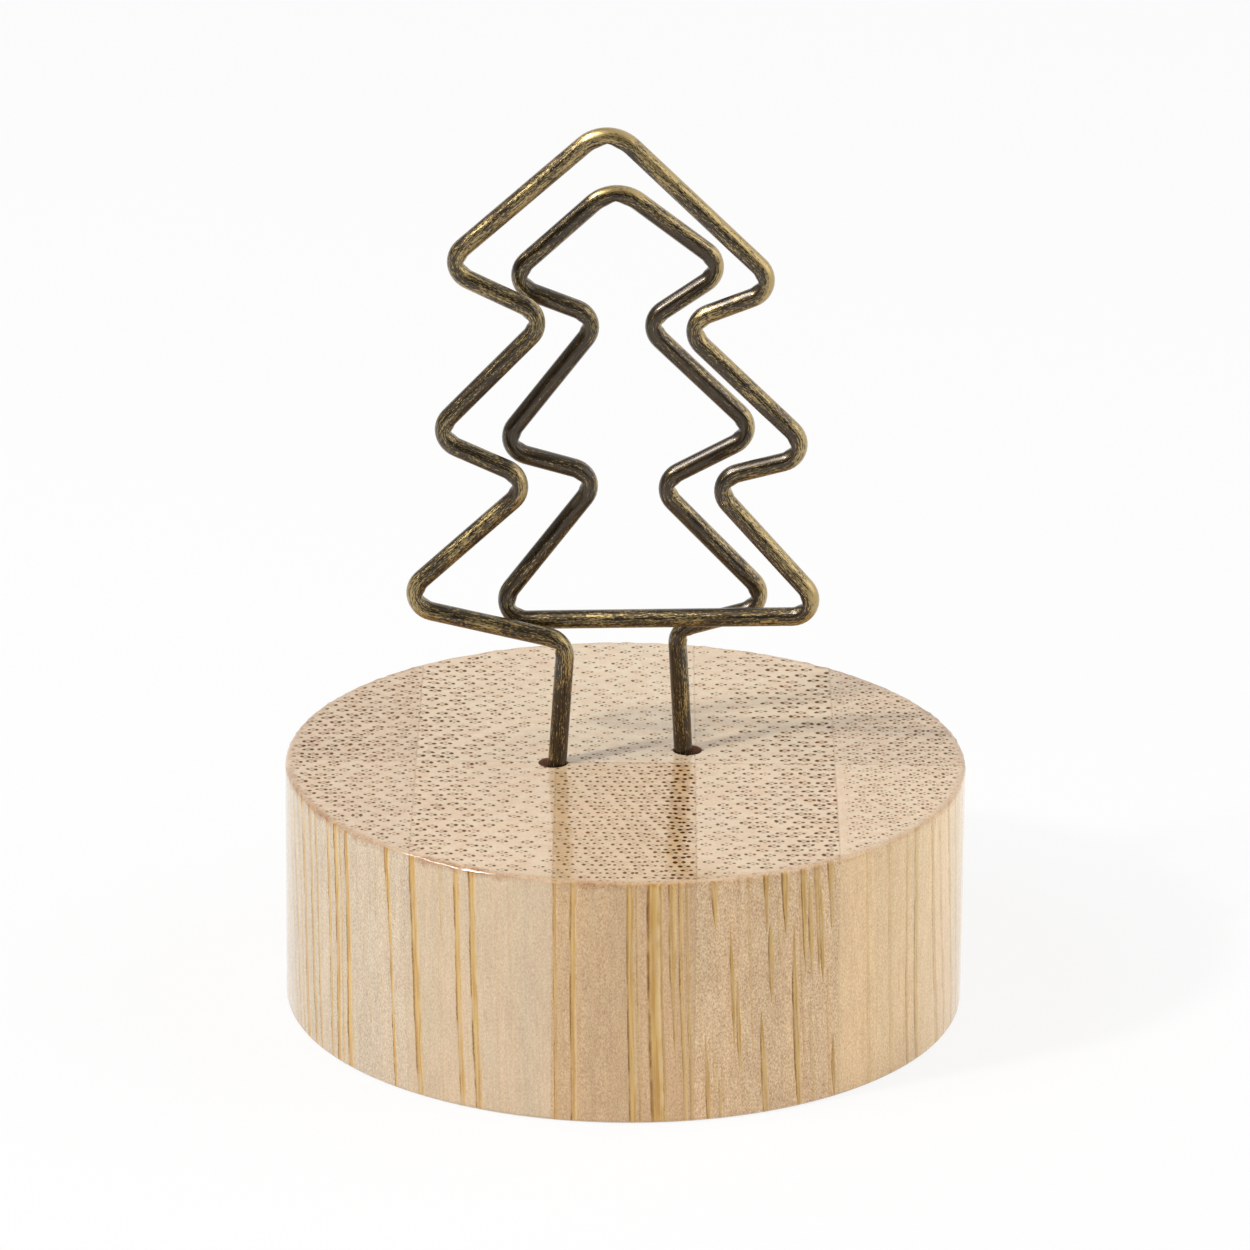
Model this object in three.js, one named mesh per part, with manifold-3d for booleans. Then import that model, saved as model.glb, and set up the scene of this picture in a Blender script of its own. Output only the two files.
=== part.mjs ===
// A tree-shaped memo holder. A turned disc of laminated bamboo, end grain up, carries one bent wire:
// it rises from a drilled socket, runs round a large tree outline, crosses back along a bar, runs round
// a smaller tree outline behind the first and goes down into a second socket. A memo slips in between
// the two trees, which spring apart for it.
// Millimetres, +Z up. The origin is the centre of the disc's underside, and -Y is the front.
import * as THREE from "three";
import { mergeVertices } from "three/addons/utils/BufferGeometryUtils.js";
import Module from "manifold-3d";

// Base: strips of bamboo glued side by side across X, in a front and a back layer
const BASE_DIAMETER = 40;
const BASE_HEIGHT = 14.8;
const EDGE_EASE = 0.3; // both rims are rubbed down to a small flat
const STRIP_THICKNESS = 8.2;
const NARROWEST_STRIP = 1; // a rim offcut thinner than this stays on its neighbour
const LAYER_JOINT_Y = -0.8;
const BASE_SEGMENTS = 96;

// Wire, bent cold round pins
const WIRE_DIAMETER = 1.1;
const BEND_PIN_RADIUS = 0.6; // inside radius of the tips, notches and leg tops
const APEX_PIN_RADIUS = 1.5; // inside radius at the two treetops
const WIRE_SIDES = 10;
const BEND_STEPS = 6;

// Sockets and legs: the legs splay in their sockets and spring against the walls
const SOCKET_SPACING = 7.9; // across X, between the socket centres
const SOCKET_PLAY = 0.6; // the drill is this much wider than the wire
const LEG_INSERT = 8.4; // length of leg below the base's top
const SEAT_GAP = 0.05; // between a splayed leg and the wall it bears on
const TIP_GAP = 0.3; // below the leg's end
const LEG_HEIGHT = 7.6; // leg tops above the base's top, where the wire turns outwards

// Clip: where it stands on the base, and how its two loops are set
const CLIP_SHIFT_X = -0.3;
const CLIP_SHIFT_Y = 0.25;
const CLIP_GAP = 1.15; // clear depth between the planes of the two legs
const FRONT_TURN = 6; // degrees: the front tree's right side comes forward
const REAR_TURN = 1; // degrees: the rear tree's right side goes back
const FLEX_GAP = 0.3; // where the wire is parted so that the loops can spring apart

// Bends of the two trees in wire order, as [across from the clip's centre, up from the base's top]
const FRONT_TREE = [
  [-13.3, 9.5],
  [-5.1, 17.4],
  [-11.2, 19.9],
  [-4.3, 27.4],
  [-10.6, 30.2],
  [-1.0, 39.1],
  [9.0, 29.8],
  [3.2, 27.3],
  [11.2, 19.8],
  [4.9, 17.9],
  [12.2, 9.9],
];
const REAR_TREE = [
  [-8.0, 8.1],
  [-1.2, 17.1],
  [-7.3, 18.8],
  [-1.3, 26.7],
  [-7.0, 28.9],
  [-0.6, 34.8],
  [6.0, 29.8],
  [1.1, 26.4],
  [7.9, 19.8],
  [1.9, 16.6],
  [9.0, 9.2],
];
const APEX = 5; // place of the treetop in both lists

const baseRadius = BASE_DIAMETER / 2;
const wireRadius = WIRE_DIAMETER / 2;
const bendRadius = BEND_PIN_RADIUS + wireRadius;
const apexRadius = APEX_PIN_RADIUS + wireRadius;
const socketRadius = (WIRE_DIAMETER + SOCKET_PLAY) / 2;
const legStagger = WIRE_DIAMETER + CLIP_GAP;

const wasm = await Module();
wasm.setup();

// A closed geometry as a solid that can be cut.
function solidOf(geometry) {
  const bare = geometry.clone();
  bare.deleteAttribute("normal");
  bare.deleteAttribute("uv");
  const merged = mergeVertices(bare);
  return new wasm.Manifold(
    new wasm.Mesh({
      numProp: 3,
      vertProperties: merged.attributes.position.array,
      triVerts: new Uint32Array(merged.index.array),
    }),
  );
}

// A cut solid as a geometry again.
function geometryOf(solid) {
  const made = solid.getMesh();
  const geometry = new THREE.BufferGeometry();
  geometry.setAttribute("position", new THREE.BufferAttribute(made.vertProperties, 3));
  geometry.setIndex(new THREE.BufferAttribute(made.triVerts, 1));
  geometry.computeVertexNormals();
  return geometry;
}

// Bamboo base: the whole disc, turned with eased rims
function turnedDisc() {
  const profile = [
    new THREE.Vector2(0, 0),
    new THREE.Vector2(baseRadius - EDGE_EASE, 0),
    new THREE.Vector2(baseRadius, EDGE_EASE),
    new THREE.Vector2(baseRadius, BASE_HEIGHT - EDGE_EASE),
    new THREE.Vector2(baseRadius - EDGE_EASE, BASE_HEIGHT),
    new THREE.Vector2(0, BASE_HEIGHT),
  ];
  return solidOf(new THREE.LatheGeometry(profile, BASE_SEGMENTS).rotateX(Math.PI / 2));
}

// One drilled socket. side is -1 for the left leg, in front, and 1 for the right leg, behind.
function socket(side) {
  const depth = LEG_INSERT + TIP_GAP;
  const drill = new THREE.CylinderGeometry(socketRadius, socketRadius, 2 * depth, 2 * WIRE_SIDES);
  drill.rotateX(Math.PI / 2);
  drill.translate(
    CLIP_SHIFT_X + (side * SOCKET_SPACING) / 2,
    CLIP_SHIFT_Y + (side * legStagger) / 2,
    BASE_HEIGHT,
  );
  return solidOf(drill);
}

const bambooTones = ["#dcc39c", "#e3cda9", "#d9bd97", "#e1c8a0", "#e6d1aa"];

// The strips of both layers, each the disc's part between two glue joints, less the sockets.
function bambooStrips() {
  const disc = turnedDisc().subtract(socket(-1)).subtract(socket(1));
  const sideColumns = Math.ceil(
    (baseRadius - STRIP_THICKNESS / 2 - NARROWEST_STRIP) / STRIP_THICKNESS,
  );
  const columns = 2 * sideColumns + 1;
  const reach = BASE_DIAMETER;
  const joints = [-reach];
  for (let i = 0; i < columns - 1; i++) {
    joints.push((i + 0.5 - sideColumns) * STRIP_THICKNESS);
  }
  joints.push(reach);

  const strips = new THREE.Group();
  const layers = { front: [-reach, LAYER_JOINT_Y], back: [LAYER_JOINT_Y, reach] };
  for (const [layer, [near, far]] of Object.entries(layers)) {
    for (let i = 0; i < columns; i++) {
      const block = new THREE.BoxGeometry(joints[i + 1] - joints[i], far - near, 2 * reach);
      block.translate((joints[i] + joints[i + 1]) / 2, (near + far) / 2, 0);
      const bamboo = new THREE.MeshStandardMaterial({
        color: bambooTones[i % bambooTones.length],
        roughness: 0.4,
        metalness: 0,
      });
      const strip = new THREE.Mesh(geometryOf(disc.intersect(solidOf(block))), bamboo);
      strip.name = `base_strip_${layer}_${i + 1}`;
      strips.add(strip);
    }
  }
  return strips;
}

// A wire through corners, each rounded to its own radius. It has stations only where it turns, and
// they stand in for evenly spaced points when a section is swept along it.
class BentWire extends THREE.Curve {
  constructor(corners) {
    super();
    this.stations = [];
    const heading = (i) => corners[i + 1].at.clone().sub(corners[i].at).normalize();
    const last = corners.length - 1;
    this.addStation(corners[0].at, heading(0));
    for (let i = 1; i < last; i++) {
      this.addBend(corners[i], heading(i - 1), heading(i));
    }
    this.addStation(corners[last].at, heading(last - 1));
  }

  addStation(point, tangent) {
    this.stations.push({ point, tangent });
  }

  addBend(corner, before, after) {
    const turn = before.angleTo(after);
    const axis = before.clone().cross(after).normalize();
    const inward = axis.clone().cross(before);
    const start = corner.at.clone().addScaledVector(before, -corner.radius * Math.tan(turn / 2));
    const centre = start.clone().addScaledVector(inward, corner.radius);
    for (let step = 0; step <= BEND_STEPS; step++) {
      const angle = (turn * step) / BEND_STEPS;
      const spoke = start.clone().sub(centre).applyAxisAngle(axis, angle);
      this.addStation(spoke.add(centre), before.clone().applyAxisAngle(axis, angle));
    }
  }

  get steps() {
    return this.stations.length - 1;
  }

  between(t, value) {
    const place = Math.min(Math.max(t, 0), 1) * this.steps;
    const i = Math.min(Math.floor(place), this.steps - 1);
    return this.stations[i][value].clone().lerp(this.stations[i + 1][value], place - i);
  }

  getPoint(t) {
    return this.between(t, "point");
  }

  getPointAt(t) {
    return this.between(t, "point");
  }

  getTangentAt(t) {
    return this.between(t, "tangent").normalize();
  }
}

// Antique brass plating: dark, and brightest where the front tree is rubbed
const wireTones = {
  left_leg: "#54472c",
  front_tree: "#6b5a35",
  rear_tree: "#4a3f2b",
  right_leg: "#54472c",
};

// One length of wire as a mesh, swept along its corners.
function wireMesh(name, corners) {
  const ring = [];
  for (let i = 0; i < WIRE_SIDES; i++) {
    const angle = (2 * Math.PI * i) / WIRE_SIDES;
    ring.push(new THREE.Vector2(Math.cos(angle), Math.sin(angle)).multiplyScalar(wireRadius));
  }
  const path = new BentWire(corners);
  const sweep = { steps: path.steps, extrudePath: path };
  const geometry = new THREE.ExtrudeGeometry(new THREE.Shape(ring), sweep);
  const plating = new THREE.MeshStandardMaterial({
    color: wireTones[name],
    roughness: 0.38,
    metalness: 0.9,
  });
  const mesh = new THREE.Mesh(geometry, plating);
  mesh.name = name;
  return mesh;
}

// A tree's bends in space. The tree stands in an upright plane turned about its own leg.
function treeCorners(bends, side, turn) {
  const slope = Math.tan(THREE.MathUtils.degToRad(turn));
  return bends.map(([across, up], i) => {
    const depth = side * (legStagger / 2) + slope * (across - (side * SOCKET_SPACING) / 2);
    const radius = i === APEX ? apexRadius : bendRadius;
    return { at: new THREE.Vector3(across, depth, up), radius };
  });
}

// A leg's tip and top. It leans from the socket's inner edge at the mouth to its outer wall at the tip.
function legEnds(side) {
  const shift = SOCKET_PLAY / 2 - SEAT_GAP;
  const lean = (2 * shift) / LEG_INSERT;
  const mouth = SOCKET_SPACING / 2 - shift;
  const point = (height) =>
    new THREE.Vector3(side * (mouth - lean * height), side * (legStagger / 2), height);
  return { tip: point(-LEG_INSERT), top: point(LEG_HEIGHT) };
}

// The point that lies a distance along the straight line from one point to another.
function along(from, to, distance) {
  return from.clone().addScaledVector(to.clone().sub(from).normalize(), distance);
}

// One continuous wire, parted where it twists and bends in use: past each leg's heel and half way
// along the bar that joins the two trees.
function wireClip() {
  const front = treeCorners(FRONT_TREE, -1, -FRONT_TURN);
  const rear = treeCorners(REAR_TREE, 1, REAR_TURN);
  const left = legEnds(-1);
  const right = legEnds(1);
  const heel = 2 * bendRadius;
  const barFront = front[front.length - 1].at;
  const barRear = rear[0].at;
  const barHalf = barFront.distanceTo(barRear) / 2 - FLEX_GAP / 2;
  const footFront = front[0].at;
  const footRear = rear[rear.length - 1].at;
  const end = (at) => ({ at });
  const bend = (at) => ({ at, radius: bendRadius });

  const lengths = {
    left_leg: [end(left.tip), bend(left.top), end(along(left.top, footFront, heel))],
    front_tree: [
      end(along(left.top, footFront, heel + FLEX_GAP)),
      ...front,
      end(along(barFront, barRear, barHalf)),
    ],
    rear_tree: [
      end(along(barRear, barFront, barHalf)),
      ...rear,
      end(along(right.top, footRear, heel + FLEX_GAP)),
    ],
    right_leg: [end(along(right.top, footRear, heel)), bend(right.top), end(right.tip)],
  };
  const clip = new THREE.Group();
  clip.position.set(CLIP_SHIFT_X, CLIP_SHIFT_Y, BASE_HEIGHT);
  for (const [name, corners] of Object.entries(lengths)) {
    clip.add(wireMesh(name, corners));
  }
  return clip;
}

const memoHolder = new THREE.Group();
memoHolder.add(bambooStrips(), wireClip());

export default memoHolder;
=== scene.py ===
"""A tree-shaped memo holder: a turned disc of laminated bamboo with one bent wire standing in it.

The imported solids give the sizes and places. Metres, +Z up, and -Y is the front.
"""

import math

import bpy
from mathutils import Matrix, Vector


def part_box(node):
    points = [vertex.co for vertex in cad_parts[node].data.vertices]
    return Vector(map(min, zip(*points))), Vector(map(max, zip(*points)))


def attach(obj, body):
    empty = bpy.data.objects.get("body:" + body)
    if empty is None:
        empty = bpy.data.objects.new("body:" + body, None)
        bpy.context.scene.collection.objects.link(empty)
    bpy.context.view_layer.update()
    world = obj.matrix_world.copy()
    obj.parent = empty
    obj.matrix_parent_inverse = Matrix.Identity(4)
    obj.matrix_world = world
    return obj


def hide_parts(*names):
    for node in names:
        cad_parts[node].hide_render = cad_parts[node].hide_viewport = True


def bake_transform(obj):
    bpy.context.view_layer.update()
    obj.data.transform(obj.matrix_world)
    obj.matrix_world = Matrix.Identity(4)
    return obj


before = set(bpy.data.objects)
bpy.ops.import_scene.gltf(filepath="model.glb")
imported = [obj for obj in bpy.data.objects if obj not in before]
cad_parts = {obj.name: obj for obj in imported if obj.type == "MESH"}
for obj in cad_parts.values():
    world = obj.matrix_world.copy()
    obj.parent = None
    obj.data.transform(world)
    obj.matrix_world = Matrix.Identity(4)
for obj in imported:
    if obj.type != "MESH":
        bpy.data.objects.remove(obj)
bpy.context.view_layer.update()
bpy.ops.object.select_all(action="DESELECT")

# Base blank: bamboo strips glued into a block and turned to a disc, end grain up, with rubbed rims.
# Two sockets are drilled from the top for the wire's legs. The blank is cut into its strips below.
MM = 0.001
BLANK_SIDES = 256
RIM_EASE = 0.3 * MM
RIM_STEPS = 4
RIM_WEAR = 0.05 * MM  # how unevenly sanding and handling left the upper rim
RIM_WEAR_SEED = 3
RING_GAP = 0.01 * MM  # less than any space between the rim's rings of points
SOCKET_DIAMETER = 1.7 * MM
SOCKET_DEPTH = 8.7 * MM
SOCKET_SIDES = 48
SOCKET_SPACING = 7.9 * MM  # across the base, between the socket centres
SOCKET_STAGGER = 2.25 * MM  # the right socket lies this much further back than the left
SOCKET_MOUTH_EASE = 0.06 * MM
SOCKET_MOUTH_STEPS = 2
CLIP_PLACE = Vector((-0.3, 0.25, 0)) * MM  # half way between the sockets

middle_low, middle_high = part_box("base_strip_front_3")
base_radius = -middle_low.y
base_height = middle_high.z


def pick(piece, kind, wanted):
    """Selects the piece's vertices or edges that pass a test, and enters edit mode."""
    bpy.ops.object.mode_set(mode="EDIT")
    bpy.ops.mesh.select_mode(type={"vertices": "VERT", "edges": "EDGE"}[kind])
    bpy.ops.mesh.select_all(action="DESELECT")
    bpy.ops.object.mode_set(mode="OBJECT")
    for element in getattr(piece.data, kind):
        element.select = wanted(element)
    bpy.ops.object.mode_set(mode="EDIT")


bpy.ops.mesh.primitive_cylinder_add(
    vertices=BLANK_SIDES, radius=base_radius, depth=base_height, location=(0, 0, base_height / 2)
)
blank = bpy.context.object
bpy.ops.object.transform_apply(location=True)

points = blank.data.vertices
pick(
    blank,
    "edges",
    lambda edge: abs(points[edge.vertices[0]].co.z - points[edge.vertices[1]].co.z) < RIM_EASE,
)
bpy.ops.mesh.bevel(offset=RIM_EASE, segments=RIM_STEPS)
bpy.ops.object.mode_set(mode="OBJECT")
pick(blank, "vertices", lambda vertex: RING_GAP < base_height - vertex.co.z < RIM_EASE - RING_GAP)
bpy.ops.transform.vertex_random(offset=RIM_WEAR, uniform=0, normal=0, seed=RIM_WEAR_SEED)
bpy.ops.object.mode_set(mode="OBJECT")

for side in (-1, 1):
    mouth = CLIP_PLACE + Vector((side * SOCKET_SPACING, side * SOCKET_STAGGER, 0)) / 2
    mouth.z = base_height
    bpy.ops.mesh.primitive_cylinder_add(
        vertices=SOCKET_SIDES, radius=SOCKET_DIAMETER / 2, depth=2 * SOCKET_DEPTH, location=mouth
    )
    drill = bpy.context.object
    bpy.context.view_layer.objects.active = blank
    bpy.ops.object.modifier_add(type="BOOLEAN")
    blank.modifiers[-1].object = drill
    blank.modifiers[-1].operation = "DIFFERENCE"
    bpy.ops.object.modifier_apply(modifier=blank.modifiers[-1].name)
    bpy.data.objects.remove(drill)
    points = blank.data.vertices
    pick(
        blank,
        "edges",
        lambda edge: all((points[i].co - mouth).length < SOCKET_DIAMETER for i in edge.vertices),
    )
    bpy.ops.mesh.bevel(offset=SOCKET_MOUTH_EASE, segments=SOCKET_MOUTH_STEPS)
    bpy.ops.object.mode_set(mode="OBJECT")

# Bamboo strips: split culms planed to 8.2 mm, glued side by side in a front and a back layer.
# Each strip is its own piece of the disc. Fibre bundles crowd towards the side of the strip that
# faced the culm's skin. On top they show as dots, and down the sides as golden streaks.
CUT_PRECISION = 0.0001 * MM
SMOOTH_ANGLE = math.radians(35)  # edges sharper than this stay sharp
LACQUER_IOR = 1.5
RELIEF = 0.02 * MM  # height of the finest grain, in the bamboo and in the wire
STRAY = 0.35  # millimetres that fibres wander to each side
CAP_SPREAD = 0.235  # millimetres from a bundle's middle to its dark caps of fibre
FAINT_SPREAD = 0.17  # and to its faint ones
CAP_SLIMNESS = 0.95  # a cap's width to its depth
LARGER_CAP = 0.07  # how much larger the cap that faced the culm's hollow is
THINNEST = 0.001  # of a streak, in millimetres, so that nothing is divided by zero
DENSE_BORDER = 0.06  # share of a strip over which its dense band begins or ends
DRILLED_INSET = 2  # walls further than this from the turned side, in millimetres, are the sockets'
WHOLE = (-40, 55)  # points of a streak that runs down the whole side

# Sizes of the bamboo's patterns in millimetres, across the fibres and along them
WANDER = (6, 25)  # over which fibres stray from straight
WAVE = (1.8, 25)  # over which rows of bundles do
CLOUD = (3.5, 3.5)
FLUSH = (0.8, 0.8)
CELLS = (0.12, 0.12)  # finer in real bamboo, and drawn at this size to show
FIBRE = (0.12, 4)
BAND = (1.6, 40)
GRIT = (0.08, 0.14)  # of sanding, finer too
WORN = (0.5, 2)

# What each strip is like, in millimetres. Pairs are for its left and right sides, and the usual values
# hold where a strip has none of its own.
# pitch is the space between the bundles of a row, rows the space between rows, and dots the radius of
# their caps.
# lean is how far its fibres lean to the right and to the back per millimetre down.
# top and side are its tones, and some strips' sides grow paler to the right: painted light from the right.
# streaks is how clearly cut bundles show down its side, grit how rough sanding left it, and rim how dark its
# rim is.
# laid_open are bundles that the turning cut along their length: the place across the base, the width, the
# strength, and the depth below the top of the two points.
# bare is a band on the left with no bundles, and dense the shares of the strip between which they are large
# and dark.
# stagger is how far each row is set over, as a share of the pitch, wave how far it wanders, scatter how
# irregularly bundles stand in it, and petals how strongly their faint caps show.
USUAL = dict(stagger=0.5, wave=0.8, scatter=0.38, petals=0.48, rim=1, laid_open=[])
STRIPS = {
    "base_strip_front_1": dict(
        pitch=(1.00, 1.25), rows=0.68, dots=(0.14, 0.115), lean=(0.035, 0.012),
        top="#dfc7a7", side="#cfc0a8", streaks=0.15, grit=0.9, rim=0.7,
        laid_open=[
            (-19.55, 0.08, 0.5, *WHOLE), (-19.3, 0.12, 0.7, *WHOLE), (-19.05, 0.10, 0.5, *WHOLE),
            (-18.8, 0.18, 0.9, *WHOLE), (-18.4, 0.16, 0.8, *WHOLE), (-18.1, 0.12, 0.7, *WHOLE),
            (-17.4, 0.18, 0.9, *WHOLE), (-16.9, 0.30, 1.0, *WHOLE), (-16.6, 0.12, 0.7, *WHOLE),
            (-16.2, 0.32, 1.0, *WHOLE), (-13.7, 0.36, 1.0, -3.4, 3.4), (-13.6, 0.18, 1.0, *WHOLE),
        ],
    ),
    "base_strip_front_2": dict(
        pitch=(1.00, 1.50), rows=0.78, dots=(0.14, 0.11), lean=(0.040, 0.010),
        top="#e5cdac", side="#d5c1a4", streaks=0.1, grit=0.55,
        laid_open=[
            (-12.2, 0.46, 0.9, *WHOLE), (-9.7, 0.38, 0.9, *WHOLE), (-8.8, 0.46, 0.9, *WHOLE),
            (-10.6, 0.20, 0.4, -3.0, 5.0),
        ],
    ),
    "base_strip_front_3": dict(
        pitch=(1.05, 0.90), rows=0.63, dots=(0.12, 0.135), lean=(0.013, 0.008),
        stagger=0.25, wave=0.6, scatter=0.36, petals=0.3, dense=(0.78, 0.95),
        top="#dec29b", side="#d0b28b", streaks=0.15, grit=0.9,
        laid_open=[
            (-4.0, 0.25, 0.7, *WHOLE), (-2.95, 0.42, 0.9, *WHOLE), (0.5, 0.50, 0.9, *WHOLE),
            (0.9, 0.14, 0.6, *WHOLE), (1.8, 0.80, 1.0, *WHOLE), (2.25, 0.20, 0.8, *WHOLE),
            (2.85, 0.50, 0.8, -9.0, 10.5), (3.3, 0.26, 0.8, *WHOLE), (3.65, 0.20, 0.7, *WHOLE),
        ],
    ),
    "base_strip_front_4": dict(
        pitch=(1.35, 0.95), rows=0.72, dots=(0.11, 0.15), lean=(0.045, 0.050),
        top="#e5cead", side="#dabe98", side_right_painted_light="#e0c49d", streaks=0.3, grit=1.3,
        laid_open=[
            (5.1, 0.48, 0.9, -3.2, 3.2), (7.0, 0.20, 0.8, -1.3, 1.3), (8.0, 0.34, 1.0, -3.9, 3.9),
            (9.05, 0.48, 1.0, -4.2, 4.2), (10.1, 0.40, 1.0, -6.9, 6.9), (10.9, 0.45, 1.0, -7.0, 7.0),
            (11.7, 0.40, 0.9, -4.4, 4.4), (5.9, 0.30, 1.0, 2.8, 10.4), (6.2, 0.32, 0.9, 6.0, 12.4),
            (8.2, 0.40, 0.9, 2.9, 8.0), (9.5, 0.42, 1.0, 3.0, 17.0), (7.6, 0.40, 0.9, 8.3, 17.0),
            (11.7, 0.30, 0.8, 10.6, 15.0), (4.2, 0.35, 0.8, 9.4, 17.0), (4.9, 0.25, 0.7, 12.0, 18.0),
            (10.45, 0.34, 0.9, 0.6, 7.1), (11.1, 0.34, 1.0, 1.0, 7.5),
        ],
    ),
    "base_strip_front_5": dict(
        pitch=(1.05, 0.95), rows=0.62, dots=(0.10, 0.125), lean=(0.025, 0.010), bare=0.5,
        top="#e7d0af", side="#e6cca2", side_right_painted_light="#f0d9b1", streaks=0.15, grit=0.75, rim=0.35,
        laid_open=[
            (14.0, 0.24, 0.3, *WHOLE), (15.3, 0.30, 0.25, *WHOLE), (16.3, 0.16, 0.6, *WHOLE),
            (16.85, 0.26, 0.65, *WHOLE), (17.9, 0.18, 0.55, *WHOLE), (18.35, 0.14, 0.4, *WHOLE),
            (18.9, 0.16, 0.5, *WHOLE), (19.3, 0.14, 0.4, *WHOLE),
        ],
    ),
    "base_strip_back_1": dict(
        pitch=(0.95, 1.10), rows=0.66, dots=(0.15, 0.125), lean=(0.012, 0.010),
        top="#dac2a2", side="#e0c9a8", streaks=0.8, grit=0.8,
    ),
    "base_strip_back_2": dict(
        pitch=(1.05, 1.45), rows=0.74, dots=(0.15, 0.11), lean=(-0.010, 0.012),
        top="#e4cfaf", side="#dcc29c", streaks=0.8, grit=0.8,
    ),
    "base_strip_back_3": dict(
        pitch=(1.45, 1.40), rows=0.74, dots=(0.11, 0.11), lean=(0.015, 0.010),
        top="#e6d3b4", side="#d8ba90", streaks=0.8, grit=0.9,
    ),
    "base_strip_back_4": dict(
        pitch=(1.45, 1.05), rows=0.80, dots=(0.11, 0.16), lean=(0.030, 0.030),
        top="#e5d0af", side="#dcbf96", streaks=0.8, grit=0.9,
    ),
    "base_strip_back_5": dict(
        pitch=(1.00, 0.92), rows=0.64, dots=(0.11, 0.135), lean=(0.005, 0.012),
        top="#e2cbab", side="#e2c699", streaks=0.8, grit=0.7,
    ),
}
DOT_BROWN = "#6c4a27"
DENSE_BROWN = "#53300c"
BLUSH = "#f8eae2"
STREAK_EDGE = "#6b3f17"
STREAK_GOLD = "#bf9148"
STREAK_STRAW = "#d6b06a"
STREAK_PALE = "#ecd8b0"
GLUE_BROWN = "#a67f58"
RIM_TINT = "#c6a28e"
DRILLED_BROWN = "#d0a084"


def linear(hexa):
    """An sRGB hex colour as linear RGBA."""
    channels = [int(hexa[i : i + 2], 16) / 255 for i in (1, 3, 5)]
    return [c / 12.92 if c <= 0.04045 else ((c + 0.055) / 1.055) ** 2.4 for c in channels] + [1]


def add_node(tree, kind, inputs=(), **settings):
    """Adds a node. Inputs are a list, or a dict by name, of values and of nodes or sockets to link."""
    made = tree.nodes.new("ShaderNode" + kind)
    for name, value in settings.items():
        setattr(made, name, value)
    for place, value in inputs.items() if isinstance(inputs, dict) else enumerate(inputs):
        socket = made.inputs[place]
        if isinstance(place, str):
            socket = next(s for s in made.inputs if s.name == place and s.enabled)
        if isinstance(value, bpy.types.Node):
            value = next(s for s in value.outputs if s.enabled)
        if isinstance(value, bpy.types.NodeSocket):
            tree.links.new(value, socket)
        else:
            socket.default_value = value
    return made


def new_material(name):
    """An empty node material and its node tree."""
    material = bpy.data.materials.new(name)
    material.use_nodes = True
    material.node_tree.nodes.clear()
    return material, material.node_tree


def maths(tree, operation, *values):
    """Adds a node that works out one number from others."""
    return add_node(tree, "Math", values, operation=operation)


def remap(tree, value, before, after=(0, 1), soft=False):
    """Takes a value from one range to another, and holds it at both ends."""
    ends = {"From Min": before[0], "From Max": before[1], "To Min": after[0], "To Max": after[1]}
    ease = "SMOOTHSTEP" if soft else "LINEAR"
    return add_node(tree, "MapRange", {"Value": value, **ends}, interpolation_type=ease)


def mix(tree, share, under, over, blend="MIX"):
    """Lays one colour over another. A colour is a hex value or comes from a node."""
    under, over = (linear(tone) if isinstance(tone, str) else tone for tone in (under, over))
    inputs = {"Factor": share, "A": under, "B": over}
    return add_node(tree, "Mix", inputs, data_type="RGBA", blend_type=blend)


def noise(tree, place, size, detail):
    """Noise whose lumps have a size across the grain and along it."""
    across, along = size
    scaled = add_node(tree, "VectorMath", [place, (1 / across, 1 / across, 1 / along)], operation="MULTIPLY")
    return add_node(tree, "TexNoise", {"Vector": scaled, "Scale": 1, "Detail": detail})


def follow_fibres(tree, mm, lean):
    """Follows the leaning, wandering fibres up from a place to the top.

    Gives where they come out across and back, the place's depth below the top, and a vector of the first
    two and the place's height.
    """
    wander = noise(tree, mm, WANDER, detail=1)
    shift = add_node(
        tree,
        "VectorMath",
        [wander.outputs["Color"], (2 * STRAY, 2 * STRAY, 0), (-STRAY, -STRAY, 0)],
        operation="MULTIPLY_ADD",
    )
    strayed = add_node(tree, "VectorMath", [mm, shift], operation="ADD")
    axes = add_node(tree, "SeparateXYZ", [strayed])
    depth = maths(tree, "SUBTRACT", base_height / MM, axes.outputs["Z"])
    x = maths(tree, "MULTIPLY_ADD", depth, -lean[0], axes.outputs["X"])
    y = maths(tree, "MULTIPLY_ADD", depth, -lean[1], axes.outputs["Y"])
    return x, y, depth, add_node(tree, "CombineXYZ", [x, y, axes.outputs["Z"]])


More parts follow.
